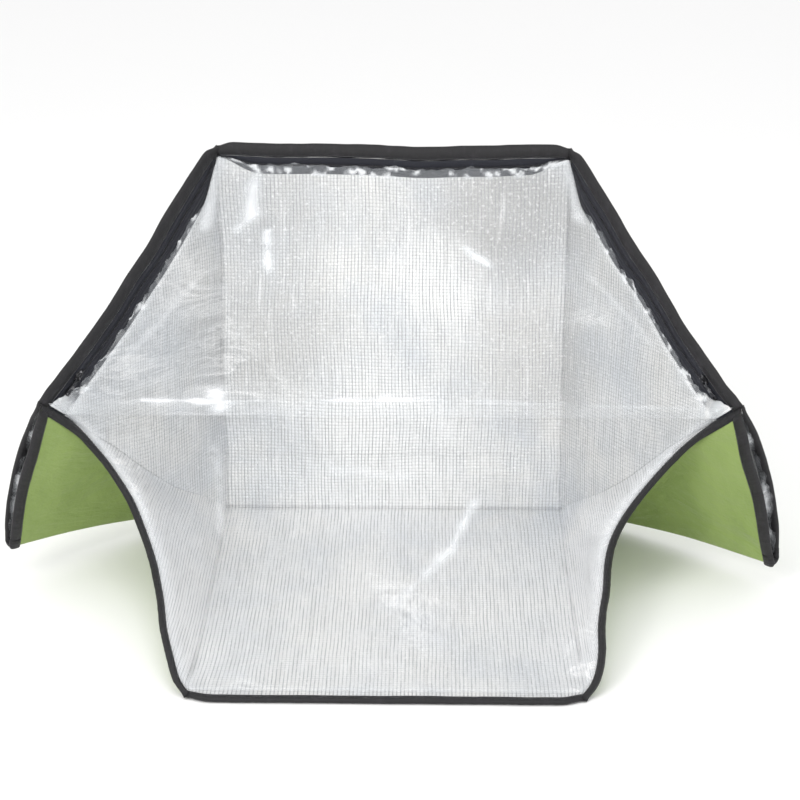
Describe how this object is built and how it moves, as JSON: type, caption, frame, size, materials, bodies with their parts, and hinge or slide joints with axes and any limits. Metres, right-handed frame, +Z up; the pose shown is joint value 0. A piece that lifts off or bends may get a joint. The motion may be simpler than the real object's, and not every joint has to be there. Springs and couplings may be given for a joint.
{
  "type": "solar cooker bag",
  "caption": "Folding insulated solar cooker bag, foil lined, with pinched sides, a bound edge and a zipped clear film window over its cooking pocket.",
  "frame": {"origin": "middle of the floor's flat underside", "axes": "+Z up, +X across the bag, -Y towards its open front"},
  "size_m": [0.9752, 0.5361, 0.4982],
  "materials": {
    "foil_liner": "gloss",
    "padding": "matte",
    "green_cloth": "satin",
    "charcoal_binding": "matte",
    "navy_zip": "matte",
    "zip_coil": "satin",
    "clear_film": "gloss",
    "slider_metal": "satin"
  },
  "bodies": {
    "floor": {"floor_liner": "foil_liner", "floor_foam": "padding", "floor_shell": "green_cloth", "front_binding": "charcoal_binding", "window_lower": "clear_film"},
    "back": {"back_liner": "foil_liner", "back_foam": "padding", "back_shell": "green_cloth", "top_binding": "charcoal_binding", "top_zip_tape": "navy_zip", "top_zip_coil": "zip_coil"},
    "window": {"window_upper": "clear_film", "top_window_band": "navy_zip", "left_window_band": "navy_zip", "right_window_band": "navy_zip"},
    "left_wall": {"left_wall_liner": "foil_liner", "left_wall_foam": "padding", "left_wall_shell": "green_cloth", "left_wall_binding": "charcoal_binding"},
    "left_wing": {"left_wing_liner": "foil_liner", "left_wing_foam": "padding", "left_wing_shell": "green_cloth", "left_wing_binding": "charcoal_binding", "left_zip_tape": "navy_zip", "left_zip_coil": "zip_coil"},
    "left_ear": {"left_ear_lining": "foil_liner", "left_ear_foam": "padding", "left_ear_shell": "green_cloth", "left_ear_rear_binding": "charcoal_binding", "left_ear_front_binding": "charcoal_binding"},
    "left_slider": {"left_slider": "slider_metal"},
    "left_pull": {"left_slider_pull": "slider_metal"},
    "right_wall": {"right_wall_liner": "foil_liner", "right_wall_foam": "padding", "right_wall_shell": "green_cloth", "right_wall_binding": "charcoal_binding"},
    "right_wing": {"right_wing_liner": "foil_liner", "right_wing_foam": "padding", "right_wing_shell": "green_cloth", "right_wing_binding": "charcoal_binding", "right_zip_tape": "navy_zip", "right_zip_coil": "zip_coil"},
    "right_ear": {"right_ear_lining": "foil_liner", "right_ear_foam": "padding", "right_ear_shell": "green_cloth", "right_ear_rear_binding": "charcoal_binding", "right_ear_front_binding": "charcoal_binding"},
    "right_slider": {"right_slider": "slider_metal"},
    "right_pull": {"right_slider_pull": "slider_metal"}
  },
  "joints": [
    {"name": "back_fold", "type": "hinge", "parent": "floor", "child": "back", "pos_m": [0, 0, 0.005], "axis": [-1, 0, 0], "range_deg": [-84, 0], "deforming": ["left_ear_foam", "left_ear_front_binding", "left_ear_lining", "left_ear_rear_binding", "left_ear_shell", "left_wall_binding", "left_wall_foam", "left_wall_liner", "left_wall_shell", "left_window_band", "left_wing_binding", "left_wing_foam", "left_wing_liner", "left_wing_shell", "left_zip_coil", "left_zip_tape", "right_ear_foam", "right_ear_front_binding", "right_ear_lining", "right_ear_rear_binding", "right_ear_shell", "right_wall_binding", "right_wall_foam", "right_wall_liner", "right_wall_shell", "right_window_band", "right_wing_binding", "right_wing_foam", "right_wing_liner", "right_wing_shell", "right_zip_coil", "right_zip_tape", "top_window_band", "window_lower", "window_upper"]},
    {"name": "left_wall_fold", "type": "hinge", "parent": "floor", "child": "left_wall", "pos_m": [-0.23, 0, 0.005], "axis": [0, 1, 0], "range_deg": [-50, 0]},
    {"name": "left_wing_fold", "type": "hinge", "parent": "back", "child": "left_wing", "pos_m": [-0.23, 0, 0.005], "axis": [0, 0.1219, 0.9925], "range_deg": [-50, 0]},
    {"name": "left_ear_fold", "type": "hinge", "parent": "left_wing", "child": "left_ear", "pos_m": [-0.23, 0, 0.005], "axis": [0.4769, 0.5824, -0.6583], "range_deg": [-25, 0]},
    {"name": "right_wall_fold", "type": "hinge", "parent": "floor", "child": "right_wall", "pos_m": [0.23, 0, 0.005], "axis": [0, -1, 0], "range_deg": [-50, 0]},
    {"name": "right_wing_fold", "type": "hinge", "parent": "back", "child": "right_wing", "pos_m": [0.23, 0, 0.005], "axis": [0, -0.1219, -0.9925], "range_deg": [-50, 0]},
    {"name": "right_ear_fold", "type": "hinge", "parent": "right_wing", "child": "right_ear", "pos_m": [0.23, 0, 0.005], "axis": [0.4769, -0.5824, 0.6583], "range_deg": [-25, 0]},
    {"name": "window_open", "type": "hinge", "parent": "back", "child": "window", "pos_m": [0, -0.21549, 0.24912], "axis": [1, 0, 0], "range_deg": [0, 150]},
    {"name": "left_slider_run", "type": "slide", "parent": "left_wing", "child": "left_slider", "axis": [0.4591, 0.7048, 0.5408], "range_m": [0, 0.325]},
    {"name": "left_pull_swing", "type": "hinge", "parent": "left_slider", "child": "left_pull", "pos_m": [-0.38346, -0.1885, 0.28491], "axis": [-0.3653, -0.4051, 0.8381], "range_deg": [0, 110]},
    {"name": "right_slider_run", "type": "slide", "parent": "right_wing", "child": "right_slider", "axis": [-0.4591, 0.7048, 0.5408], "range_m": [0, 0.325]},
    {"name": "right_pull_swing", "type": "hinge", "parent": "right_slider", "child": "right_pull", "pos_m": [0.38346, -0.1885, 0.28491], "axis": [-0.3653, 0.4051, -0.8381], "range_deg": [0, 110]}
  ],
  "couplings": [
    {"joint": "left_wall_fold", "follows": "back_fold", "ratio": 0.588},
    {"joint": "left_wing_fold", "follows": "back_fold", "ratio": 0.588},
    {"joint": "left_ear_fold", "follows": "back_fold", "ratio": 0.29},
    {"joint": "right_wall_fold", "follows": "back_fold", "ratio": 0.588},
    {"joint": "right_wing_fold", "follows": "back_fold", "ratio": 0.588},
    {"joint": "right_ear_fold", "follows": "back_fold", "ratio": 0.29}
  ]
}
